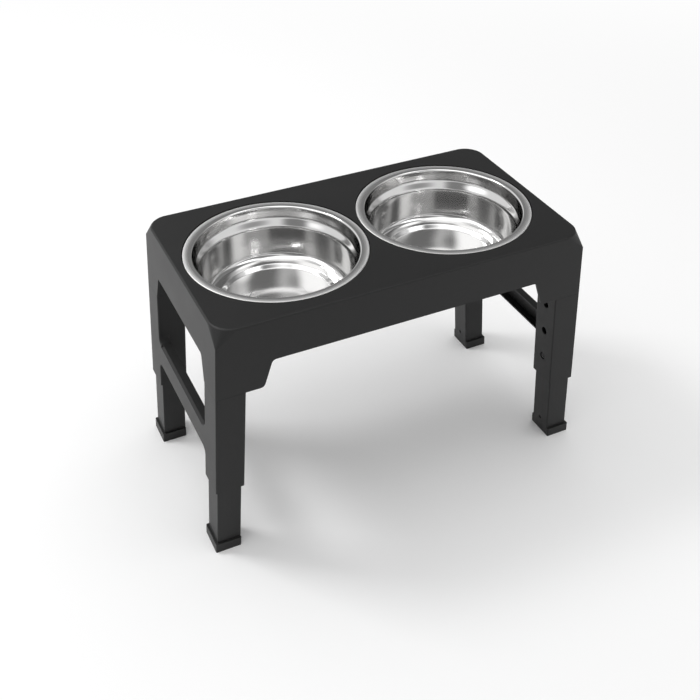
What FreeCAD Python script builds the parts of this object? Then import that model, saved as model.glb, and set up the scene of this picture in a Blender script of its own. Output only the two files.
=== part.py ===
import FreeCAD, Part
import math
import os
import re
import Sketcher

# Elevated feeder for a dog: a moulded table holds two steel bowls and stands on two leg frames whose
# legs telescope. The origin is on the floor under the middle of the table, X runs along the table,
# and the front is towards -Y. Lengths are in millimetres.
SIZES = {
    "height": (300.0, "floor to table top, legs out to the last hole"),
    "top_length": (425.0, "table top, end to end"),
    "top_width": (236.0, "table top, front to back"),
    "end_splay": (0.084, "run outwards of ends and legs for each unit of drop"),
    "plate_thickness": (3.2, "table top plate"),
    "shell_wall": (3.0, "skirts and corner posts of the table"),
    "corner_radius": (26.0, "plan radius of the table's corners at the top"),
    "corner_blend": (18.0, "drop over which the corners run out to an edge"),
    "edge_radius": (1.4, "upright edges"),
    "top_edge_radius": (2.5, "edge round the table top"),
    "front_skirt": (49.5, "depth of the front and back skirts"),
    "end_skirt": (52.0, "depth of the end skirts"),
    "corner_depth": (81.0, "table top to the foot of its corner posts"),
    "gusset_foot": (19.7, "flat foot of a front gusset beside its post"),
    "gusset_run": (10.8, "lean of a front gusset"),
    "end_gusset_run": (8.0, "lean of an end gusset"),
    "gusset_radius": (5.5, "gusset corners"),
    "rib_depth": (14.0, "cross rib under the table"),
    "rib_thickness": (2.4, "cross rib and bar ribs"),
    "bowl_spacing": (205.0, "between the bowls' axes"),
    "rim_radius": (100.0, "outside of a bowl's rim"),
    "rim_sink": (0.9, "rim below the table top"),
    "rim_thickness": (2.0, "turned-down edge of the rim"),
    "rim_turn": (2.2, "width of the turned-down edge"),
    "bowl_gauge": (0.9, "steel sheet"),
    "mouth_radius": (90.0, "inside of the bowl at its rim"),
    "upper_depth": (14.0, "rim to the step"),
    "upper_lean": (1.4, "taper of the upper wall"),
    "step_width": (5.0, "step in the wall, across"),
    "step_drop": (8.6, "step in the wall, down"),
    "lower_lean": (3.4, "taper of the lower wall"),
    "ledge_depth": (62.0, "rim to the ledge round the floor"),
    "ledge_radius": (66.5, "inner edge of that ledge"),
    "floor_drop": (4.0, "floor below the ledge"),
    "floor_radius": (62.5, "floor of the bowl"),
    "panel_radius": (33.0, "raised panel in the floor"),
    "panel_rise": (0.8, "height of that panel"),
    "foot_radius": (8.0, "corner at the foot of the bowl's wall"),
    "step_radius": (3.0, "corners of the step"),
    "mouth_round": (1.2, "inner edge of the rim"),
    "seat_clearance": (0.8, "rim to the edge of its seat"),
    "seat_ring": (3.0, "seat ring beyond the seat and below it"),
    "bowl_clearance": (1.6, "bowl's wall to its opening"),
    "leg_width": (32.5, "outer leg along X"),
    "leg_depth": (35.8, "outer leg along Y"),
    "leg_wall": (2.2, "outer leg"),
    "outer_leg_length": (128.0, "outer leg below the table's posts"),
    "spigot_length": (44.0, "leg frame's spigots, in the table's posts"),
    "spigot_fit": (0.25, "spigot to post, each side"),
    "socket_slack": (3.0, "room over a spigot"),
    "leg_head": (3.0, "web between an outer leg and its spigot"),
    "seam_edge": (0.5, "edge round the head of an outer leg, at the seam under the post"),
    "bar_drop": (63.0, "foot of the posts to the top of the cross bar"),
    "bar_height": (30.0, "cross bar"),
    "bar_depth": (11.5, "cross bar along X"),
    "bar_radius": (8.0, "corner between bar and leg"),
    "bar_edge": (2.8, "slope along the top outer edge of the bar"),
    "end_bay": (14.0, "bay of the bar beside each leg"),
    "hole_rise": (32.3, "foot of the outer leg to its lowest hole"),
    "hole_pitch": (39.0, "between height holes"),
    "hole_steps": (2.0, "steps up from the lowest hole"),
    "hole_radius": (4.8, "height holes"),
    "slide_fit": (0.3, "inner leg to outer leg, each side"),
    "tube_wall": (2.0, "inner leg"),
    "inner_head": (12.7, "inner leg above its button"),
    "button_radius": (4.3, "snap button"),
    "button_fit": (0.3, "button to the inner leg's hole"),
    "button_sink": (0.4, "button's end inside the outer leg's face"),
    "button_dome": (0.9, "domed end of the button"),
    "flange_radius": (6.0, "flange that holds the button in"),
    "flange_thickness": (1.5, "that flange"),
    "flange_gap": (0.8, "inner leg's wall to the flange"),
    "spring_gauge": (0.7, "leaf spring"),
    "spring_width": (9.0, "leaf spring along Y"),
    "spring_rise": (6.0, "ends of the spring over the button's axis"),
    "spring_drop": (12.0, "button's axis to the spring's bend"),
    "spring_bend": (5.0, "bends of the spring"),
    "spring_gap": (0.3, "spring to what it bears on"),
    "cap_floor": (4.0, "foot cap under the inner leg"),
    "cap_lip": (12.0, "foot cap's lip over the floor"),
    "plug_height": (24.0, "cap's plug in the inner leg, over the floor"),
    "plug_fit": (0.2, "plug to the inner leg"),
    "lug_height": (20.0, "cap's locking lug over the floor"),
    "lug_radius": (2.1, "cap's locking lug"),
    "lug_fit": (0.2, "lug to its hole"),
    "lug_sink": (1.2, "lug's end inside the inner leg's face"),
}

EDGE_TOLERANCE = 0.01

doc = FreeCAD.newDocument("ElevatedFeeder")
sheet = doc.addObject("Spreadsheet::Sheet", "Sizes")
for row, (name, (value, note)) in enumerate(SIZES.items(), start=1):
    sheet.set(f"A{row}", name)
    sheet.set(f"B{row}", str(value))
    sheet.setAlias(f"B{row}", name)
    sheet.set(f"C{row}", note)
doc.recompute()


def bound(formula):
    """The formula with every size named in it written as its cell."""
    def cell(word):
        return f"Sizes.{word[0]}" if word[0] in SIZES else word[0]

    return re.sub(r"[a-z]+(_[a-z]+)*", cell, formula)


def value_of(formula):
    """What the formula comes to with the sheet's sizes."""
    return float(sheet.evalExpression(bound(formula)))


def new_body(label):
    """An empty body for one piece."""
    body = doc.addObject("PartDesign::Body", label)
    body.Label = label
    return body


def sketch_on(body, role, name, **offset):
    """A sketch on one of the body's own planes, moved by formulas for x, y and z in that plane's axes."""
    sketch = body.newObject("Sketcher::SketchObject", name)
    plane = next(feature for feature in body.Origin.OriginFeatures if feature.Role == role)
    sketch.AttachmentSupport = [(plane, "")]
    sketch.MapMode = "FlatFace"
    for axis, formula in offset.items():
        sketch.setExpression(f"AttachmentOffset.Base.{axis}", bound(formula))
    return sketch


def bind(sketch, constraint, formula):
    """Adds a dimension and ties it to its formula."""
    index = sketch.addConstraint(constraint)
    sketch.setExpression(f"Constraints[{index}]", bound(formula))


def outline(sketch, corners):
    """A closed loop through corners (x, y), or (x, y, radius) where an arc leads on to the next corner.

    Each entry is a formula. A radius that starts with a minus sign curves into the loop.
    """
    points = [FreeCAD.Vector(value_of(corner[0]), value_of(corner[1]), 0) for corner in corners]
    following = points[1:] + points[:1]
    turn = sum(a.x * b.y - b.x * a.y for a, b in zip(points, following))
    ends = []
    for corner, start, end in zip(corners, points, following):
        if len(corner) == 2:
            index = sketch.addGeometry(Part.LineSegment(start, end))
            ends.append((index, 1, 2))
            continue
        radius = abs(value_of(corner[2]))
        to_left = (turn > 0) != corner[2].startswith("-")
        chord = end - start
        height = math.sqrt(max(radius**2 - (chord.Length / 2) ** 2, 0)) * (1 if to_left else -1)
        centre = (start + end) / 2 + FreeCAD.Vector(-chord.y, chord.x, 0).normalize() * height
        first, last = (start, end) if to_left else (end, start)
        angles = [math.atan2(point.y - centre.y, point.x - centre.x) for point in (first, last)]
        circle = Part.Circle(centre, FreeCAD.Vector(0, 0, 1), radius)
        index = sketch.addGeometry(Part.ArcOfCircle(circle, *angles))
        ends.append((index, 1, 2) if to_left else (index, 2, 1))
    for (index, first, last), (other, other_first, other_last) in zip(ends, ends[1:] + ends[:1]):
        sketch.addConstraint(Sketcher.Constraint("Coincident", index, last, other, other_first))
    for corner, point, (index, first, last) in zip(corners, points, ends):
        bind(sketch, Sketcher.Constraint("DistanceX", -1, 1, index, first, point.x), corner[0])
        bind(sketch, Sketcher.Constraint("DistanceY", -1, 1, index, first, point.y), corner[1])
        if len(corner) == 3:
            radius = corner[2].lstrip("-")
            bind(sketch, Sketcher.Constraint("Radius", index, value_of(radius)), radius)


def rounded(sketch, x_from, x_to, y_from, y_to, radius):
    """A rectangle between four formulas, with rounded corners."""
    x_step = f"({radius})" if value_of(x_to) > value_of(x_from) else f"-({radius})"
    y_step = f"({radius})" if value_of(y_to) > value_of(y_from) else f"-({radius})"
    outline(sketch, [
        (f"{x_from} + {x_step}", y_from),
        (f"{x_to} - {x_step}", y_from, radius),
        (x_to, f"{y_from} + {y_step}"),
        (x_to, f"{y_to} - {y_step}", radius),
        (f"{x_to} - {x_step}", y_to),
        (f"{x_from} + {x_step}", y_to, radius),
        (x_from, f"{y_to} - {y_step}"),
        (x_from, f"{y_from} + {y_step}", radius),
    ])


def circle(sketch, x, y, radius):
    """A circle with its centre and radius from formulas."""
    centre = FreeCAD.Vector(value_of(x), value_of(y), 0)
    index = sketch.addGeometry(Part.Circle(centre, FreeCAD.Vector(0, 0, 1), value_of(radius)))
    bind(sketch, Sketcher.Constraint("DistanceX", -1, 1, index, 3, centre.x), x)
    bind(sketch, Sketcher.Constraint("DistanceY", -1, 1, index, 3, centre.y), y)
    bind(sketch, Sketcher.Constraint("Radius", index, value_of(radius)), radius)


def extrude(body, kind, name, sketch, length, way=None, both=False):
    """A Pad or Pocket of the sketch, straight or along way, a vector's three formulas."""
    feature = body.newObject(f"PartDesign::{kind}", name)
    feature.Profile = sketch
    feature.setExpression("Length", bound(length))
    if both:
        feature.SideType = "Symmetric"
    if way:
        feature.UseCustomVector = True
        for axis, formula in zip("xyz", way):
            feature.setExpression(f"Direction.{axis}", bound(formula))
    doc.recompute()
    return feature


def loft(body, kind, name, sketches):
    """A straight-sided AdditiveLoft or SubtractiveLoft from each section to the next."""
    feature = body.newObject(f"PartDesign::{kind}", name)
    feature.Profile = sketches[0]
    feature.Sections = sketches[1:]
    feature.Ruled = True
    doc.recompute()
    return feature


def fillet(body, name, radius, wanted):
    """Rounds those edges of the body so far for which wanted is true."""
    base = body.Tip
    names = [f"Edge{number}" for number, edge in enumerate(base.Shape.Edges, start=1) if wanted(edge)]
    feature = body.newObject("PartDesign::Fillet", name)
    feature.Base = (base, names)
    feature.setExpression("Radius", bound(radius))
    doc.recompute()
    return feature


def lies_at(edge, **where):
    """True if the whole edge lies at the given formulas for x, y or z, on either side of the middle."""
    box = edge.BoundBox
    spans = {"x": (box.XMin, box.XMax), "y": (box.YMin, box.YMax), "z": (box.ZMin, box.ZMax)}
    for axis, formula in where.items():
        low, high = spans[axis]
        if high - low > EDGE_TOLERANCE or abs(abs(low) - value_of(formula)) > EDGE_TOLERANCE:
            return False
    return True


def runs_up(edge):
    """True if the edge is straight and climbs along the legs and end walls."""
    if not isinstance(edge.Curve, (Part.Line, Part.LineSegment)):
        return False
    run = edge.lastVertex().Point - edge.firstVertex().Point
    off_lean = abs(run.x) - value_of("end_splay") * abs(run.z)
    return abs(run.y) < EDGE_TOLERANCE and abs(off_lean) < EDGE_TOLERANCE


def outer_x(level):
    """Distance from the middle to the outer face of the ends and legs at a level."""
    return f"(top_length / 2 + end_splay * (height - ({level})))"


# Levels over the floor, from the top down
PLATE_UNDER = "(height - plate_thickness)"
RIM_TOP = "(height - rim_sink)"
SEAT = "(height - rim_sink - rim_thickness)"
BLEND_FOOT = "(height - corner_blend)"
FRONT_SKIRT_FOOT = "(height - front_skirt)"
END_SKIRT_FOOT = "(height - end_skirt)"
SEAM = "(height - corner_depth)"
BAR_TOP = f"({SEAM} - bar_drop)"
BAR_FOOT = f"({BAR_TOP} - bar_height)"
LEG_FOOT = f"({SEAM} - outer_leg_length)"
BUTTON = f"({LEG_FOOT} + hole_rise)"
INNER_TOP = f"({BUTTON} + inner_head)"

HALF_WIDTH = "(top_width / 2)"
LEG_MIDDLE = f"({HALF_WIDTH} - leg_depth / 2)"
LEG_INNER_Y = f"({HALF_WIDTH} - leg_depth)"
SLIDE_INSET = "(leg_wall + slide_fit)"
TUBE_INSET = f"({SLIDE_INSET} + tube_wall)"
SPIGOT_INSET = "(shell_wall + spigot_fit)"
SIDES = {"left": -1, "right": 1}
ENDS = {"front": -1, "back": 1}


def leg_section(body, name, level, side, end, x_insets, y_insets, radius):
    """A level section of one leg, given by how far its faces lie inside the outer leg's outer faces."""
    sketch = sketch_on(body, "XY_Plane", name, z=level)
    x_from, x_to = (f"{side} * ({outer_x(level)} - ({inset}))" for inset in x_insets)
    y_from, y_to = (f"{end} * ({HALF_WIDTH} - ({inset}))" for inset in y_insets)
    rounded(sketch, x_from, x_to, y_from, y_to, radius)
    return sketch


def even_insets(inset):
    """Insets of a section that is the same distance inside the outer leg all round."""
    return (inset, f"leg_width - {inset}"), (inset, f"leg_depth - {inset}")


def leaning(side):
    """The way up along a leg or end wall."""
    return f"{-side} * end_splay", "0", "1"


def along_leg(body, kind, name, sketch, length, side):
    """A Pad or Pocket of a level leg section, upwards along the leg."""
    return extrude(body, kind, name, sketch, length, leaning(side))


# Table: a hollow moulding, open below
def make_tabletop():
    body = new_body("tabletop")
    foot = f"({outer_x(SEAM)} - leg_width - gusset_foot)"
    head = f"({foot} - gusset_run)"
    front = sketch_on(body, "XZ_Plane", "FrontOutline")
    right_half = [
        (head, FRONT_SKIRT_FOOT),
        (foot, SEAM),
        (outer_x(SEAM), SEAM),
        (outer_x("height"), "height"),
    ]
    outline(front, right_half + [(f"-{x}", level) for x, level in reversed(right_half)])
    extrude(body, "Pad", "Block", front, "top_width", both=True)
    fillet(body, "FrontGussets", "gusset_radius", lambda edge: (
        lies_at(edge, x=foot, z=SEAM) or lies_at(edge, x=head, z=FRONT_SKIRT_FOOT)))

    end_head = f"({LEG_INNER_Y} - end_gusset_run)"
    below = f"({SEAM} - shell_wall)"
    end_arch = sketch_on(body, "YZ_Plane", "EndArchOutline")
    outline(end_arch, [
        (f"-{LEG_INNER_Y}", below), (LEG_INNER_Y, below), (LEG_INNER_Y, SEAM),
        (end_head, END_SKIRT_FOOT), (f"-{end_head}", END_SKIRT_FOOT), (f"-{LEG_INNER_Y}", SEAM),
    ])
    extrude(body, "Pocket", "EndArch", end_arch, "2 * top_length", both=True)
    fillet(body, "EndGussets", "gusset_radius", lambda edge: lies_at(edge, y=end_head, z=END_SKIRT_FOOT))

    corner_levels = ("height", "corner_radius"), (BLEND_FOOT, "edge_radius"), (below, "edge_radius")
    for side in SIDES.values():
        for end in ENDS.values():
            blend = []
            for level, radius in corner_levels:
                sketch = sketch_on(body, "XY_Plane", "CornerOutline", z=level)
                x = f"{side} * {outer_x(level)}"
                y = f"{end} * {HALF_WIDTH}"
                outline(sketch, [
                    (x, y),
                    (f"{x} - {side} * {radius}", y, f"-{radius}"),
                    (x, f"{y} - {end} * {radius}"),
                ])
                blend.append(sketch)
            loft(body, "SubtractiveLoft", "CornerBlend", blend)
    fillet(body, "TopEdge", "top_edge_radius", lambda edge: lies_at(edge, z="height"))

    inner_y = f"({HALF_WIDTH} - shell_wall)"
    for side in SIDES.values():
        sketch = sketch_on(body, "XY_Plane", "HollowSection", z=below)
        rounded(sketch, f"{-side} * bowl_spacing / 4", f"{side} * ({outer_x(below)} - shell_wall)",
                f"-{inner_y}", inner_y, "corner_radius - shell_wall")
        along_leg(body, "Pocket", "Hollow", sketch, f"{PLATE_UNDER} - {below}", side)

    post = ("shell_wall / 2", "leg_width"), ("shell_wall / 2", "leg_depth")
    socket = even_insets("shell_wall")
    for side in SIDES.values():
        for end in ENDS.values():
            sketch = leg_section(body, "PostSection", SEAM, side, end, *post, "edge_radius / 2")
            along_leg(body, "Pad", "Post", sketch, "spigot_length + socket_slack + shell_wall", side)
            sketch = leg_section(body, "SocketSection", SEAM, side, end, *socket, "edge_radius / 2")
            along_leg(body, "Pocket", "Socket", sketch, "spigot_length + socket_slack", side)

    rib = sketch_on(body, "XY_Plane", "RibSection", z=f"{PLATE_UNDER} - rib_depth")
    deep = f"({HALF_WIDTH} - shell_wall / 2)"
    outline(rib, [("-rib_thickness / 2", f"-{deep}"), ("rib_thickness / 2", f"-{deep}"),
                  ("rib_thickness / 2", deep), ("-rib_thickness / 2", deep)])
    extrude(body, "Pad", "Rib", rib, "rib_depth + plate_thickness / 2")

    for side in SIDES.values():
        ring = sketch_on(body, "XY_Plane", "SeatRingSection", z=f"{SEAT} - seat_ring")
        circle(ring, f"{side} * bowl_spacing / 2", "0", "rim_radius + seat_clearance + seat_ring")
        extrude(body, "Pad", "SeatRing", ring, f"{PLATE_UNDER} + plate_thickness / 2 - {SEAT} + seat_ring")
    for side in SIDES.values():
        for cut, radius, depth in (("Seat", "rim_radius + seat_clearance", "rim_sink + rim_thickness"),
                                   ("Opening", "mouth_radius + bowl_gauge + bowl_clearance", "corner_depth")):
            sketch = sketch_on(body, "XY_Plane", f"{cut}Section", z="height")
            circle(sketch, f"{side} * bowl_spacing / 2", "0", radius)
            extrude(body, "Pocket", cut, sketch, depth)
    return body


# Bowls: pressed sheet, loose in the table's openings
def make_bowl(name, side):
    body = new_body(f"bowl_{name}")
    profile = sketch_on(body, "XZ_Plane", "Profile", x=f"{side} * bowl_spacing / 2", y=RIM_TOP)
    step_top = "(mouth_radius - upper_lean)"
    step_foot = f"({step_top} - step_width)"
    wall_foot = f"({step_foot} - lower_lean)"
    step_level = "(upper_depth + step_drop)"
    floor_level = "(ledge_depth + floor_drop)"
    panel_level = f"({floor_level} - panel_rise)"
    outline(profile, [
        ("rim_radius", "0"),
        ("mouth_radius", "0"),
        (step_top, "-upper_depth"),
        (step_foot, f"-{step_level}"),
        (wall_foot, "-ledge_depth"),
        ("ledge_radius", "-ledge_depth"),
        ("floor_radius", f"-{floor_level}"),
        ("panel_radius + panel_rise", f"-{floor_level}"),
        ("panel_radius", f"-{panel_level}"),
        ("0", f"-{panel_level}"),
        ("0", f"-{panel_level} - bowl_gauge"),
        ("panel_radius", f"-{panel_level} - bowl_gauge"),
        ("panel_radius + panel_rise", f"-{floor_level} - bowl_gauge"),
        ("floor_radius + bowl_gauge / 2", f"-{floor_level} - bowl_gauge"),
        ("ledge_radius + bowl_gauge / 2", "-ledge_depth - bowl_gauge"),
        (f"{wall_foot} + bowl_gauge", "-ledge_depth - bowl_gauge"),
        (f"{step_foot} + bowl_gauge", f"-{step_level} - bowl_gauge / 2"),
        (f"{step_top} + bowl_gauge", "-upper_depth - bowl_gauge / 2"),
        ("mouth_radius + bowl_gauge", "-bowl_gauge"),
        ("rim_radius - rim_turn", "-bowl_gauge"),
        ("rim_radius - rim_turn", "-rim_thickness"),
        ("rim_radius", "-rim_thickness"),
    ])
    turned = body.newObject("PartDesign::Revolution", "Pressing")
    turned.Profile = profile
    turned.ReferenceAxis = (profile, ["V_Axis"])
    doc.recompute()

    def ring(edge, radius, level):
        """True for the circle of that radius at that depth under the rim."""
        curve = edge.Curve
        return (isinstance(curve, Part.Circle) and abs(curve.Radius - value_of(radius)) < EDGE_TOLERANCE
                and abs(curve.Center.z - value_of(f"{RIM_TOP} - ({level})")) < EDGE_TOLERANCE)

    fillet(body, "RimRound", "mouth_round", lambda edge: (
        ring(edge, "mouth_radius", "0") or ring(edge, "rim_radius", "0")))
    fillet(body, "StepInside", "step_radius", lambda edge: (
        ring(edge, step_top, "upper_depth") or ring(edge, step_foot, step_level)))
    fillet(body, "StepOutside", "step_radius", lambda edge: (
        ring(edge, f"{step_top} + bowl_gauge", "upper_depth + bowl_gauge / 2")
        or ring(edge, f"{step_foot} + bowl_gauge", f"{step_level} + bowl_gauge / 2")))
    fillet(body, "FootInside", "foot_radius", lambda edge: ring(edge, wall_foot, "ledge_depth"))
    fillet(body, "FootOutside", "foot_radius + bowl_gauge", lambda edge: (
        ring(edge, f"{wall_foot} + bowl_gauge", "ledge_depth + bowl_gauge")))
    return body


# Leg frames: two hollow legs and a ribbed cross bar, moulded together
def make_leg_frame(name, side):
    body = new_body(f"leg_frame_{name}")
    bar = sketch_on(body, "XY_Plane", "BarSection", z=BAR_FOOT)
    bar_outer = f"{side} * {outer_x(BAR_FOOT)}"
    bar_inner = f"{side} * ({outer_x(BAR_FOOT)} - bar_depth)"
    outline(bar, [(bar_outer, f"-{LEG_MIDDLE}"), (bar_outer, LEG_MIDDLE),
                  (bar_inner, LEG_MIDDLE), (bar_inner, f"-{LEG_MIDDLE}")])
    along_leg(body, "Pad", "Bar", bar, "bar_height", side)
    for end in ENDS.values():
        sketch = sketch_on(body, "XY_Plane", "LegSection", z=LEG_FOOT)
        x_from, x_to = (f"{side} * ({outer_x(LEG_FOOT)} - {inset})" for inset in ("0", "leg_width"))
        y_from, y_to = (f"{end} * ({HALF_WIDTH} - {inset})" for inset in ("0", "leg_depth"))
        outline(sketch, [(x_from, y_from), (x_to, y_from), (x_to, y_to), (x_from, y_to)])
        along_leg(body, "Pad", "Leg", sketch, "outer_leg_length", side)
    fillet(body, "BarCorners", "bar_radius", lambda edge: (
        lies_at(edge, y=LEG_INNER_Y, z=BAR_FOOT) or lies_at(edge, y=LEG_INNER_Y, z=BAR_TOP)))
    fillet(body, "LegEdges", "edge_radius", lambda edge: (
        runs_up(edge) and (lies_at(edge, y=LEG_INNER_Y) or lies_at(edge, y=HALF_WIDTH))))
    fillet(body, "HeadEdges", "seam_edge", lambda edge: lies_at(edge, z=SEAM))

    edge_foot = f"({BAR_TOP} - bar_edge)"
    edge = sketch_on(body, "XZ_Plane", "BarEdgeOutline")
    outline(edge, [
        (f"{side} * {outer_x(edge_foot)}", edge_foot),
        (f"{side} * {outer_x(edge_foot)}", BAR_TOP),
        (f"{side} * ({outer_x(BAR_TOP)} - bar_edge)", BAR_TOP),
    ])
    extrude(body, "Pocket", "BarEdge", edge, f"2 * ({LEG_INNER_Y} - bar_radius)", both=True)

    bay_level = f"({BAR_FOOT} + leg_wall)"
    bay_outer = f"{side} * ({outer_x(bay_level)} - leg_wall)"
    bay_inner = f"{side} * ({outer_x(bay_level)} - leg_width)"
    rib_outside = f"({LEG_INNER_Y} - end_bay)"
    rib_inside = f"({rib_outside} - rib_thickness)"
    bays = (f"-{LEG_INNER_Y}", f"-{rib_outside}"), (f"-{rib_inside}", rib_inside), (rib_outside, LEG_INNER_Y)
    for bay_start, bay_end in bays:
        bay = sketch_on(body, "XY_Plane", "BaySection", z=bay_level)
        rounded(bay, bay_outer, bay_inner, bay_start, bay_end, "edge_radius / 2")
        along_leg(body, "Pocket", "Bay", bay, "bar_height - 2 * leg_wall", side)

    bore = even_insets("leg_wall")
    spigot = even_insets(SPIGOT_INSET)
    hollow = even_insets(f"({SPIGOT_INSET} + leg_wall)")
    for end in ENDS.values():
        sketch = leg_section(body, "BoreSection", LEG_FOOT, side, end, *bore, "edge_radius / 2")
        along_leg(body, "Pocket", "Bore", sketch, "outer_leg_length - leg_head", side)
        sketch = leg_section(body, "SpigotSection", SEAM, side, end, *spigot, "edge_radius")
        along_leg(body, "Pad", "Spigot", sketch, "spigot_length", side)
        sketch = leg_section(body, "SpigotBore", SEAM, side, end, *hollow, "edge_radius / 2")
        along_leg(body, "Pocket", "SpigotHollow", sketch, "spigot_length", side)

    top_hole = f"({BUTTON} + hole_steps * hole_pitch)"
    face = f"({outer_x(top_hole)} - leg_width - leg_wall)"
    holes = sketch_on(body, "YZ_Plane", "HoleOutlines", z=f"{side} * {face}")
    for end in ENDS.values():
        for step in range(round(value_of("hole_steps")) + 1):
            circle(holes, f"{end} * {LEG_MIDDLE}", f"{BUTTON} + {step} * hole_pitch", "hole_radius")
    depth = "3 * leg_wall + end_splay * hole_steps * hole_pitch"
    extrude(body, "Pocket", "Holes", holes, depth, (f"{side}", "0", "0"))
    return body


# Inner legs: open tubes that slide in the outer legs
def make_inner_leg(name, side, end):
    body = new_body(f"inner_leg_{name}")
    length = f"{INNER_TOP} - cap_floor"
    tube = even_insets(SLIDE_INSET)
    sketch = leg_section(body, "TubeSection", "cap_floor", side, end, *tube, "edge_radius")
    along_leg(body, "Pad", "Tube", sketch, length, side)
    bore = even_insets(TUBE_INSET)
    sketch = leg_section(body, "BoreSection", "cap_floor", side, end, *bore, "edge_radius / 2")
    along_leg(body, "Pocket", "Bore", sketch, length, side)
    for hole, level, radius in (("ButtonHole", BUTTON, "button_radius + button_fit"),
                                ("LugHole", "lug_height", "lug_radius + lug_fit")):
        face = f"({outer_x(level)} - leg_width)"
        sketch = sketch_on(body, "YZ_Plane", f"{hole}Outline", z=f"{side} * {face}")
        circle(sketch, f"{end} * {LEG_MIDDLE}", level, radius)
        extrude(body, "Pocket", hole, sketch, f"{TUBE_INSET} + tube_wall", (f"{side}", "0", "0"))
    return body


# Foot caps: a tray with a lip on three sides and a plug that locks in the inner leg
def make_foot_cap(name, side, end):
    body = new_body(f"foot_cap_{name}")
    outside = ("0", f"leg_width - {SLIDE_INSET}"), ("0", "leg_depth")
    sketch = leg_section(body, "TraySection", "0", side, end, *outside, "edge_radius")
    along_leg(body, "Pad", "Tray", sketch, "cap_lip", side)
    seat = (SLIDE_INSET, "leg_width"), (SLIDE_INSET, f"leg_depth - {SLIDE_INSET}")
    sketch = leg_section(body, "SeatSection", "cap_floor", side, end, *seat, "edge_radius")
    along_leg(body, "Pocket", "Seat", sketch, "cap_lip - cap_floor", side)
    plug_inset = f"({TUBE_INSET} + plug_fit)"
    plug = even_insets(plug_inset)
    sketch = leg_section(body, "PlugSection", "cap_floor", side, end, *plug, "edge_radius / 2")
    along_leg(body, "Pad", "Plug", sketch, "plug_height - cap_floor", side)
    hollow = even_insets(f"({plug_inset} + tube_wall)")
    sketch = leg_section(body, "PlugHollow", "cap_floor", side, end, *hollow, "edge_radius / 2")
    along_leg(body, "Pocket", "PlugBore", sketch, "plug_height - cap_floor", side)
    lug_end = f"({outer_x('lug_height')} - leg_width + {SLIDE_INSET} + lug_sink)"
    sketch = sketch_on(body, "YZ_Plane", "LugOutline", z=f"{side} * {lug_end}")
    circle(sketch, f"{end} * {LEG_MIDDLE}", "lug_height", "lug_radius")
    extrude(body, "Pad", "Lug", sketch, "2 * tube_wall - lug_sink", (f"{side}", "0", "0"))
    return body


# Snap buttons: turned pins with a flange behind the inner leg's wall
def make_snap_button(name, side, end):
    body = new_body(f"snap_button_{name}")
    profile = sketch_on(body, "XZ_Plane", "Profile", x=f"{side} * {outer_x(BUTTON)}", y=BUTTON,
                        z=f"{-end} * {LEG_MIDDLE}")
    tip = "(leg_width - button_sink)"
    flange = f"(leg_width - {TUBE_INSET} - flange_gap)"
    dome = "((button_radius^2 + button_dome^2) / (2 * button_dome))"
    outline(profile, [
        (f"{-side} * {tip}", "0", dome),
        (f"{-side} * ({tip} - button_dome)", "button_radius"),
        (f"{-side} * {flange}", "button_radius"),
        (f"{-side} * {flange}", "flange_radius"),
        (f"{-side} * ({flange} - flange_thickness)", "flange_radius"),
        (f"{-side} * ({flange} - flange_thickness)", "0"),
    ])
    turned = body.newObject("PartDesign::Revolution", "Pin")
    turned.Profile = profile
    turned.ReferenceAxis = (profile, ["H_Axis"])
    doc.recompute()
    return body


# Button springs: a leaf bent to a U between the button's flange and the far wall of the inner leg
def make_button_spring(name, side, end):
    body = new_body(f"button_spring_{name}")
    profile = sketch_on(body, "XZ_Plane", "Profile", x=f"{side} * {outer_x(BUTTON)}", y=BUTTON,
                        z=f"{-end} * {LEG_MIDDLE}")
    near = f"(leg_width - {TUBE_INSET} - flange_gap - flange_thickness - spring_gap)"
    far = f"({TUBE_INSET} + spring_gap + end_splay * spring_rise)"
    inner_bend = "(spring_bend - spring_gauge)"
    outline(profile, [
        (f"{-side} * {near}", "spring_rise"),
        (f"{-side} * {near}", "-spring_drop", "spring_bend"),
        (f"{-side} * ({near} - spring_bend)", "-spring_drop - spring_bend"),
        (f"{-side} * ({far} + spring_bend)", "-spring_drop - spring_bend", "spring_bend"),
        (f"{-side} * {far}", "-spring_drop"),
        (f"{-side} * {far}", "spring_rise"),
        (f"{-side} * ({far} + spring_gauge)", "spring_rise"),
        (f"{-side} * ({far} + spring_gauge)", "-spring_drop", f"-{inner_bend}"),
        (f"{-side} * ({far} + spring_bend)", "-spring_drop - spring_bend + spring_gauge"),
        (f"{-side} * ({near} - spring_bend)", "-spring_drop - spring_bend + spring_gauge", f"-{inner_bend}"),
        (f"{-side} * ({near} - spring_gauge)", "-spring_drop"),
        (f"{-side} * ({near} - spring_gauge)", "spring_rise"),
    ])
    extrude(body, "Pad", "Leaf", profile, "spring_width", both=True)
    return body


pieces = [make_tabletop()]
for side_name, side in SIDES.items():
    pieces.append(make_bowl(side_name, side))
    pieces.append(make_leg_frame(side_name, side))
    for end_name, end in ENDS.items():
        corner = f"{end_name}_{side_name}"
        for make in (make_inner_leg, make_foot_cap, make_snap_button, make_button_spring):
            pieces.append(make(corner, side, end))
doc.recompute()

for item in doc.Objects:
    if "Invalid" in item.State or "Error" in item.State:
        raise RuntimeError(f"{item.Label} did not compute: {item.State}")
for piece in pieces:
    if piece.Shape.isNull() or not piece.Shape.isValid() or len(piece.Shape.Solids) != 1:
        raise RuntimeError(f"{piece.Label} is not one valid solid")

os.makedirs("parts", exist_ok=True)
for piece in pieces:
    piece.Shape.exportStep(f"parts/{piece.Label}.step")
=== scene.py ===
import math

import bmesh
import bpy
from mathutils import Matrix, Vector


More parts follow.
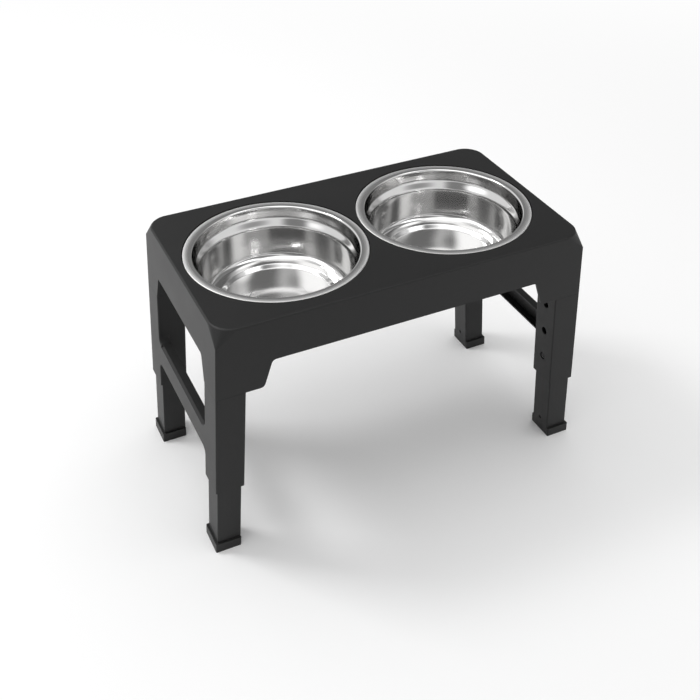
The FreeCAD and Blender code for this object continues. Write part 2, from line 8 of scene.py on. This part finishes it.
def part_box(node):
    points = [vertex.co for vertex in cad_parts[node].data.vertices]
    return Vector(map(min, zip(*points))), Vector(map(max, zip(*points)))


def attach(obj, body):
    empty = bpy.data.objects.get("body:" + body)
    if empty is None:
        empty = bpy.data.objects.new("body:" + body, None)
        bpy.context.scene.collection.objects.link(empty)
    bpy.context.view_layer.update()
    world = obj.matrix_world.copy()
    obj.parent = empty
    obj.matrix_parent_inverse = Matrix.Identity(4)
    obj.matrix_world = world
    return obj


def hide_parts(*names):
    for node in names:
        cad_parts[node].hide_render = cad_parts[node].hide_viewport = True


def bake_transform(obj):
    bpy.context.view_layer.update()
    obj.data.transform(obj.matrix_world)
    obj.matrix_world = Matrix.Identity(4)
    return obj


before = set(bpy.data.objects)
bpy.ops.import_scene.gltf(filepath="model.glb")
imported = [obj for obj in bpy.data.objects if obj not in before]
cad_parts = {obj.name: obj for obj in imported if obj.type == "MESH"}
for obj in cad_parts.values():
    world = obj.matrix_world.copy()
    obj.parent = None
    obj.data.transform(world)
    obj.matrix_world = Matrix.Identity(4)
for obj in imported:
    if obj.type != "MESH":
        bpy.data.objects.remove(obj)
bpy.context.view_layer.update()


# Table top: one charcoal moulding with skirts, four corner posts and two openings for the bowls.
# It is injection moulded in a spark-eroded tool, so every face carries the same fine even grain.
CHARCOAL = (0.0120, 0.0120, 0.0121, 1)
CHARCOAL_PALE = (0.0160, 0.0160, 0.0161, 1)
TABLE_ROUGHNESS = 0.46
PLASTIC_SHEEN = 0.27
GRAIN_PITCH = 0.0007
GRAIN_DEPTH = 0.00004
GRAIN_ROUGHENS = 0.08
FLOW_PITCH = 0.06
FLOW_ROUGHENS = 0.10
NOISE_DETAIL = 2.0


class Signal:
    """A socket in a node tree. Maths on it adds Math nodes, and node() adds any other node."""

    def __init__(self, tree, socket=None):
        self.tree = tree
        self.socket = socket

    def node(self, kind, settings=None, inputs=None, output=None):
        """Adds a node with settings and sockets, by identifier. Returns its named or first output."""
        made = self.tree.nodes.new(kind)
        for key, value in (settings or {}).items():
            setattr(made, key, value)
        sockets = {socket.identifier: socket for socket in made.inputs}
        for key, value in (inputs or {}).items():
            if isinstance(value, Signal):
                self.tree.links.new(value.socket, sockets[key])
            else:
                sockets[key].default_value = value
        outputs = {socket.identifier: socket for socket in made.outputs}
        return Signal(self.tree, outputs[output] if output else next(iter(outputs.values()), None))

    def maths(self, operation, first, second):
        return self.node("ShaderNodeMath", {"operation": operation}, {"Value": first, "Value_001": second})

    def __add__(self, other):
        return self.maths("ADD", self, other)

    def __radd__(self, other):
        return self.maths("ADD", other, self)

    def __sub__(self, other):
        return self.maths("SUBTRACT", self, other)

    def __rsub__(self, other):
        return self.maths("SUBTRACT", other, self)

    def __mul__(self, other):
        return self.maths("MULTIPLY", self, other)

    def __rmul__(self, other):
        return self.maths("MULTIPLY", other, self)

    def swing(self, amount):
        """Turns 0 to 1 into a change of up to half the amount either way."""
        return amount * (self - 0.5)


def new_finish(name):
    """An empty material and a signal on its tree."""
    material = bpy.data.materials.new(name)
    material.use_nodes = True
    material.node_tree.nodes.clear()
    return material, Signal(material.node_tree)


def close_finish(tree, sockets):
    """Ends a finish in one surface shader with these constants and links."""
    surface = tree.node("ShaderNodeBsdfPrincipled", inputs=sockets)
    tree.node("ShaderNodeOutputMaterial", inputs={"Surface": surface})


def noise(tree, place, pitch):
    """Even noise from 0 to 1 whose features are about one pitch wide."""
    return tree.node("ShaderNodeTexNoise", inputs={
        "Vector": place, "Scale": 1 / pitch, "Detail": NOISE_DETAIL})


def blend(tree, factor, first, second):
    """The first colour at 0 and the second at 1."""
    inputs = {"Factor_Float": factor, "A_Color": first, "B_Color": second}
    return tree.node("ShaderNodeMix", {"data_type": "RGBA"}, inputs, "Result_Color")


def close_plastic(tree, place, colour, roughness, grain_depth):
    """Ends a finish in moulded plastic that carries the fine grain of its tool."""
    grain = noise(tree, place, GRAIN_PITCH)
    bump = tree.node("ShaderNodeBump", inputs={"Strength": 1.0, "Distance": grain_depth, "Height": grain})
    close_finish(tree, {
        "Base Color": colour,
        "Roughness": roughness + grain.swing(GRAIN_ROUGHENS),
        "Specular IOR Level": PLASTIC_SHEEN,
        "Normal": bump,
    })


def moulded_finish(name, dark, pale, roughness, grain_depth):
    """Grained plastic with faint clouds where the melt flowed."""
    material, tree = new_finish(name)
    place = tree.node("ShaderNodeTexCoord", output="Object")
    flow = noise(tree, place, FLOW_PITCH)
    clouded = roughness + flow.swing(FLOW_ROUGHENS)
    close_plastic(tree, place, blend(tree, flow, dark, pale), clouded, grain_depth)
    return material


def wear(material, *nodes):
    """Gives CAD nodes a finish."""
    for name in nodes:
        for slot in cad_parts[name].material_slots:
            slot.material = material


charcoal_plastic = moulded_finish("charcoal_plastic", CHARCOAL, CHARCOAL_PALE, TABLE_ROUGHNESS, GRAIN_DEPTH)
wear(charcoal_plastic, "tabletop")


# Bowls: two loose bowls pressed from stainless sheet, with a flat satin rim, a step in the wall and
# a ledge round the floor. The inside is spun and polished, which leaves fine rings round the axis.
BOWL_GAUGE = 0.0009
RIM_RADIUS = 0.1000
RIM_THICKNESS = 0.0020
RIM_TURN = 0.0022
MOUTH_RADIUS = 0.0900
UPPER_DEPTH = 0.0140
UPPER_LEAN = 0.0014
STEP_WIDTH = 0.0050
STEP_DROP = 0.0086
LOWER_LEAN = 0.0034
LEDGE_DEPTH = 0.0620
LEDGE_RADIUS = 0.0665
FLOOR_DROP = 0.0040
FLOOR_RADIUS = 0.0625
PANEL_RADIUS = 0.0330
PANEL_RISE = 0.0008
MOUTH_ROUND = 0.0024
RIM_ROUND = 0.0012
STEP_ROUND = 0.0120
FOOT_ROUND = 0.0080
LEDGE_ROUND = 0.0015
PANEL_ROUND = PANEL_RISE / 2
OUTER_SATIN = 0.35
BOWL_TURNS = 160
ROUND_POINTS = 10
MERGE_WITHIN = 1e-6
STEEL = (0.604, 0.602, 0.599, 1)
STEEL_DULL = (0.800, 0.797, 0.792, 1)
POLISHED_ROUGHNESS = 0.11
SATIN_ROUGHNESS = 0.60
RING_PITCH = 0.00035
RINGS_ROUGHEN = 0.03
CLOUD_PITCH = 0.03
CLOUDS_ROUGHEN = 0.03


def bowl_section():
    """Corners of the pressing's section as (radius, drop below the rim, rounding, satin), inside first."""
    step_top = MOUTH_RADIUS - UPPER_LEAN
    step_foot = step_top - STEP_WIDTH
    wall_foot = step_foot - LOWER_LEAN
    step_drop = UPPER_DEPTH + STEP_DROP
    floor = LEDGE_DEPTH + FLOOR_DROP
    panel = floor - PANEL_RISE
    skin = BOWL_GAUGE
    return [
        (0, panel, 0, 0),
        (PANEL_RADIUS, panel, PANEL_ROUND, 0),
        (PANEL_RADIUS + PANEL_RISE, floor, PANEL_ROUND, 0),
        (FLOOR_RADIUS, floor, LEDGE_ROUND, 0),
        (LEDGE_RADIUS, LEDGE_DEPTH, LEDGE_ROUND, 0),
        (wall_foot, LEDGE_DEPTH, FOOT_ROUND, 0),
        (step_foot, step_drop, STEP_ROUND, 0),
        (step_top, UPPER_DEPTH, STEP_ROUND, 0),
        (MOUTH_RADIUS, 0, MOUTH_ROUND, 0),
        (RIM_RADIUS, 0, RIM_ROUND, 1),
        (RIM_RADIUS, RIM_THICKNESS, 0, 1),
        (RIM_RADIUS - RIM_TURN, RIM_THICKNESS, 0, 1),
        (RIM_RADIUS - RIM_TURN, skin, 0, 1),
        (MOUTH_RADIUS + skin, skin, MOUTH_ROUND + skin, OUTER_SATIN),
        (step_top + skin, UPPER_DEPTH + skin / 2, STEP_ROUND, OUTER_SATIN),
        (step_foot + skin, step_drop + skin / 2, STEP_ROUND, OUTER_SATIN),
        (wall_foot + skin, LEDGE_DEPTH + skin, FOOT_ROUND + skin, OUTER_SATIN),
        (LEDGE_RADIUS + skin / 2, LEDGE_DEPTH + skin, LEDGE_ROUND, OUTER_SATIN),
        (FLOOR_RADIUS + skin / 2, floor + skin, LEDGE_ROUND + skin, OUTER_SATIN),
        (PANEL_RADIUS + PANEL_RISE, floor + skin, PANEL_ROUND, OUTER_SATIN),
        (PANEL_RADIUS, panel + skin, PANEL_ROUND, OUTER_SATIN),
        (0, panel + skin, 0, OUTER_SATIN),
    ]


def lathe_tree(material):
    """Rounds a section's corners and turns it about Z. The section lies in X from the rim and Y down."""
    tree = bpy.data.node_groups.new("lathe", "GeometryNodeTree")
    kinds = {"Section": "Geometry", "Turns": "Int", "Round points": "Int", "Path radius": "Float"}
    sockets = {}
    for name, kind in kinds.items():
        socket = tree.interface.new_socket(name, in_out="INPUT", socket_type=f"NodeSocket{kind}")
        sockets[name] = socket.identifier
    tree.interface.new_socket("Pressing", in_out="OUTPUT", socket_type="NodeSocketGeometry")
    given = tree.nodes.new("NodeGroupInput")
    made = tree.nodes.new("NodeGroupOutput")
    section, turns, points, radius = (Signal(tree, given.outputs[name]) for name in sockets)
    rounding = section.node("GeometryNodeInputNamedAttribute", {"data_type": "FLOAT"}, {"Name": "rounding"})
    line = section.node("GeometryNodeMeshToCurve", inputs={"Mesh": section})
    line = section.node("GeometryNodeFilletCurve", {"mode": "POLY"}, {
        "Curve": line, "Count": points, "Radius": rounding, "Limit Radius": True})
    line = section.node("GeometryNodeSubdivideCurve", inputs={"Curve": line, "Cuts": 1})
    along = section.node("GeometryNodeSplineParameter", output="Length")
    line = section.node("GeometryNodeStoreNamedAttribute", {"data_type": "FLOAT", "domain": "POINT"}, {
        "Geometry": line, "Name": "along", "Value": along})
    path = section.node("GeometryNodeCurvePrimitiveCircle", inputs={"Resolution": turns, "Radius": radius})
    path = section.node("GeometryNodeSetCurveNormal", {"mode": "Z_UP"}, {"Curve": path})
    wall = section.node("GeometryNodeCurveToMesh", inputs={"Curve": path, "Profile Curve": line})
    wall = section.node("GeometryNodeMergeByDistance", inputs={"Geometry": wall, "Distance": MERGE_WITHIN})
    wall = section.node("GeometryNodeRealizeInstances", inputs={"Geometry": wall})
    wall = section.node("GeometryNodeSetShadeSmooth", inputs={"Geometry": wall})
    wall = section.node("GeometryNodeSetMaterial", inputs={"Geometry": wall, "Material": material})
    tree.links.new(wall.socket, made.inputs["Pressing"])
    return tree, sockets


def spun_steel():
    """Polished stainless with fine rings from the lathe; the rim and the outside are left satin."""
    material, tree = new_finish("bowl_steel")
    along = tree.node("ShaderNodeAttribute", {"attribute_name": "along"}, output="Fac")
    satin = tree.node("ShaderNodeAttribute", {"attribute_name": "satin"}, output="Fac")
    place = tree.node("ShaderNodeTexCoord", output="Object")
    rings = tree.node("ShaderNodeTexNoise", {"noise_dimensions": "1D"}, {
        "W": along, "Scale": 1 / RING_PITCH, "Detail": NOISE_DETAIL})
    clouds = noise(tree, place, CLOUD_PITCH)
    polish = POLISHED_ROUGHNESS + (SATIN_ROUGHNESS - POLISHED_ROUGHNESS) * satin
    close_finish(tree, {
        "Base Color": blend(tree, satin, STEEL, STEEL_DULL),
        "Metallic": 1.0,
        "Roughness": polish + clouds.swing(CLOUDS_ROUGHEN) + rings.swing(RINGS_ROUGHEN),
    })
    return material


def put_in_scene(name, data):
    """A new object at the origin."""
    made = bpy.data.objects.new(name, data)
    bpy.context.scene.collection.objects.link(made)
    return made


bowl_steel = spun_steel()
lathe, lathe_sockets = lathe_tree(bowl_steel)
for side in ("left", "right"):
    low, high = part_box(f"bowl_{side}")
    corners = bowl_section()
    section = bpy.data.meshes.new(f"spun_bowl_{side}")
    section.from_pydata([(r - RIM_RADIUS, drop, 0) for r, drop, *_ in corners],
                        [(i, i + 1) for i in range(len(corners) - 1)], [])
    for column, name in ((2, "rounding"), (3, "satin")):
        values = section.attributes.new(name, "FLOAT", "POINT")
        values.data.foreach_set("value", [corner[column] for corner in corners])
    bowl = put_in_scene(f"spun_bowl_{side}", section)
    turning = bowl.modifiers.new("lathe", "NODES")
    turning.node_group = lathe
    turning[lathe_sockets["Turns"]] = BOWL_TURNS
    turning[lathe_sockets["Round points"]] = ROUND_POINTS
    turning[lathe_sockets["Path radius"]] = RIM_RADIUS
    bowl.data = bpy.data.meshes.new_from_object(bowl.evaluated_get(bpy.context.evaluated_depsgraph_get()))
    bowl.modifiers.remove(turning)
    bowl.data.transform(Matrix.Translation(((low.x + high.x) / 2, (low.y + high.y) / 2, high.z)))
    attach(bowl, f"bowl_{side}")
    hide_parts(f"bowl_{side}")


# Leg frames: two H-shaped mouldings, each two hollow legs and a ribbed cross bar, plugged into the
# table's corner posts. They come from the same charcoal plastic as the table.
wear(charcoal_plastic, "leg_frame_left", "leg_frame_right")


# Inner legs: hollow extension legs that slide in the outer legs. The same plastic, with faint marks
# along the leg where it has been rubbed by the sliding.
CORNERS = [f"{end}_{side}" for side in ("left", "right") for end in ("front", "back")]
LEG_LEAN = 0.084
LEG_ROUGHNESS = 0.43
RUB_PITCH = 0.0011
RUB_STRETCH = 45
RUB_SMOOTHS = 0.16


def rubbed_finish(name, dark, pale, roughness, grain_depth):
    """Grained plastic with paler, smoother streaks along the leaning legs."""
    material, tree = new_finish(name)
    place = tree.node("ShaderNodeTexCoord", output="Object")
    x, y, z = (tree.node("ShaderNodeSeparateXYZ", inputs={"Vector": place}, output=axis) for axis in "XYZ")
    across = tree.maths("ABSOLUTE", x, 0) + LEG_LEAN * z
    down = tree.node("ShaderNodeCombineXYZ", inputs={"X": across, "Y": y, "Z": z * (1 / RUB_STRETCH)})
    rub = noise(tree, down, RUB_PITCH)
    streaked = roughness - rub.swing(RUB_SMOOTHS)
    close_plastic(tree, place, blend(tree, rub, dark, pale), streaked, grain_depth)
    return material


sliding_plastic = rubbed_finish("sliding_plastic", CHARCOAL, CHARCOAL_PALE, LEG_ROUGHNESS, GRAIN_DEPTH)
wear(sliding_plastic, *(f"inner_leg_{corner}" for corner in CORNERS))


# Snap buttons: small domed buttons that fill the lowest hole of each outer leg and lock the height.
# Smooth moulded plastic, a little glossier than the table and with a finer grain.
BUTTON_ROUGHNESS = 0.34
BUTTON_GRAIN = GRAIN_DEPTH / 4
button_plastic = moulded_finish("button_plastic", CHARCOAL, CHARCOAL_PALE, BUTTON_ROUGHNESS, BUTTON_GRAIN)
wear(button_plastic, *(f"snap_button_{corner}" for corner in CORNERS))


# Button springs: leaves of tempered strip steel, bent to a U and stood in the inner legs. One arm
# bears on the leg's wall, and the other gives way with the button.
SPRING_GAUGE = 0.0007
SPRING_BLUE = (0.26, 0.28, 0.32, 1)
SPRING_STRAW = (0.42, 0.38, 0.30, 1)
SPRING_ROUGHNESS = 0.25
TEMPER_PITCH = 0.008
TEMPER_ROUGHENS = 0.15


def tempered_steel():
    """Strip steel with soft bands of temper colour."""
    material, tree = new_finish("spring_steel")
    place = tree.node("ShaderNodeTexCoord", output="Object")
    temper = noise(tree, place, TEMPER_PITCH)
    close_finish(tree, {
        "Base Color": blend(tree, temper, SPRING_BLUE, SPRING_STRAW),
        "Metallic": 1.0,
        "Roughness": SPRING_ROUGHNESS + TEMPER_ROUGHENS * temper,
    })
    return material


spring_steel = tempered_steel()
for corner in CORNERS:
    low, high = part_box(f"button_spring_{corner}")
    shape = bmesh.new()
    shape.from_mesh(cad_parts[f"button_spring_{corner}"].data)
    bmesh.ops.remove_doubles(shape, verts=shape.verts, dist=MERGE_WITHIN)
    leaf_mesh = bpy.data.meshes.new(f"leaf_spring_{corner}")
    shape.to_mesh(leaf_mesh)
    shape.free()
    leaf_mesh.materials.append(spring_steel)
    leaf = put_in_scene(f"leaf_spring_{corner}", leaf_mesh)
    fixed_x, free_x = low.x + SPRING_GAUGE, high.x - SPRING_GAUGE
    if corner.endswith("right"):
        fixed_x, free_x = free_x, fixed_x
    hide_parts(f"button_spring_{corner}")
    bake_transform(leaf)


# Foot caps: soft caps pressed on the inner legs, with a lip on three sides. Dull rubber-like plastic
# that grips the floor, with a coarser grain than the legs.
RUBBER = (0.0130, 0.0130, 0.0130, 1)
RUBBER_PALE = (0.0170, 0.0168, 0.0166, 1)
RUBBER_ROUGHNESS = 0.42
RUBBER_GRAIN = GRAIN_DEPTH * 2
foot_rubber = moulded_finish("foot_rubber", RUBBER, RUBBER_PALE, RUBBER_ROUGHNESS, RUBBER_GRAIN)
wear(foot_rubber, *(f"foot_cap_{corner}" for corner in CORNERS))


# Studio: a pale floor that fades into a white surround, a small lamp at the back left and the
# photograph's camera. The room is brightest overhead, and what shines mirrors patches of it. A patch
# is a level, with the azimuth and elevation of its middle and half its width in degrees.
FLOOR_HALF = 6.0
FLOOR_WHITE = (0.95, 0.95, 0.95, 1)
FLOOR_ROUGHNESS = 0.9
FADE_FROM = 0.8
FADE_TO = 2.2
ROOM_WHITE = (1, 1, 1, 1)
ROOM_LOW = 0.05
ROOM_HIGH = 1.70
ROOM_MIRRORED = 1.05
PATCHES = {
    "dark wall at the back right": (0.28, 35, 30, 46),
    "bright screen overhead": (2.6, -125, 78, 18),
    "bright screen at the left": (2.6, 184, 43, 18),
    "dark wall at the front": (0.35, -75, 48, 24),
    "dark gap beside the camera": (0.30, -140, 26, 14),
    "small screen at the front right": (4, -48, 56, 8),
}
PATCH_SOFT = math.radians(8)
KEY_PLACE = (-1.2, 1.0, 2.0)
KEY_SIZE = 0.6
KEY_POWER = 16.0
CAMERA_PLACE = (-0.415487, -0.840622, 0.862642)
CAMERA_TILT = 0.6655
CAMERA_TURN = 0.4444
CAMERA_LENS = 50.57
CAMERA_SENSOR = 36.0

floor_mesh = bpy.data.meshes.new("floor")
floor_corners = ((-1, -1), (1, -1), (1, 1), (-1, 1))
floor_mesh.from_pydata([(x * FLOOR_HALF, y * FLOOR_HALF, 0) for x, y in floor_corners], [], [(0, 1, 2, 3)])
floor = put_in_scene("floor", floor_mesh)
floor_finish, tree = new_finish("floor")
place = tree.node("ShaderNodeTexCoord", output="Object")
reach = tree.node("ShaderNodeVectorMath", {"operation": "LENGTH"}, {"Vector": place}, "Value")
fade = tree.node("ShaderNodeMapRange", {"interpolation_type": "SMOOTHSTEP"}, {
    "Value": reach, "From Min": FADE_FROM, "From Max": FADE_TO})
paper = tree.node("ShaderNodeBsdfPrincipled", inputs={
    "Base Color": FLOOR_WHITE, "Roughness": FLOOR_ROUGHNESS, "Specular IOR Level": 0.0})
glow = tree.node("ShaderNodeEmission", inputs={"Color": ROOM_WHITE})
surface = tree.node("ShaderNodeMixShader", inputs={"Fac": fade, "Shader": paper, "Shader_001": glow})
tree.node("ShaderNodeOutputMaterial", inputs={"Surface": surface})
floor_mesh.materials.append(floor_finish)

world = bpy.data.worlds.new("studio")
world.use_nodes = True
world.node_tree.nodes.clear()
sky = Signal(world.node_tree)
seen = sky.node("ShaderNodeLightPath", output="Is Camera Ray")
mirrored = sky.node("ShaderNodeLightPath", output="Is Glossy Ray")
way = sky.node("ShaderNodeTexCoord", output="Generated")
mirror_level = ROOM_MIRRORED
for patch_level, *angles in PATCHES.values():
    turn, rise, spread = map(math.radians, angles)
    middle = (math.cos(rise) * math.cos(turn), math.cos(rise) * math.sin(turn), math.sin(rise))
    facing = sky.node("ShaderNodeVectorMath", {"operation": "DOT_PRODUCT"}, {
        "Vector": way, "Vector_001": middle}, "Value")
    patch = sky.node("ShaderNodeMapRange", {"interpolation_type": "SMOOTHSTEP"}, {
        "Value": facing,
        "From Min": math.cos(spread + PATCH_SOFT),
        "From Max": math.cos(spread - PATCH_SOFT),
    })
    mirror_level = mirror_level + (patch_level - ROOM_MIRRORED) * patch
up = sky.node("ShaderNodeSeparateXYZ", inputs={"Vector": way}, output="Z")
even_level = ROOM_LOW + (ROOM_HIGH - ROOM_LOW) * up * up
level = even_level + mirrored * (mirror_level - even_level) + seen * (1 - even_level)
backdrop = sky.node("ShaderNodeBackground", inputs={"Color": ROOM_WHITE, "Strength": level})
sky.node("ShaderNodeOutputWorld", inputs={"Surface": backdrop})
bpy.context.scene.world = world

key_data = bpy.data.lights.new("key", "AREA")
key_data.size = KEY_SIZE
key_data.energy = KEY_POWER
key = put_in_scene("key", key_data)
key.location = KEY_PLACE
key.rotation_euler = (-Vector(KEY_PLACE)).to_track_quat("-Z", "Y").to_euler()

camera_data = bpy.data.cameras.new("camera")
camera_data.lens = CAMERA_LENS
camera_data.sensor_width = CAMERA_SENSOR
camera = put_in_scene("camera", camera_data)
camera.location = CAMERA_PLACE
camera.rotation_euler = (math.pi / 2 - CAMERA_TILT, 0, -CAMERA_TURN)
bpy.context.scene.camera = camera
bpy.context.scene.view_settings.view_transform = "Standard"
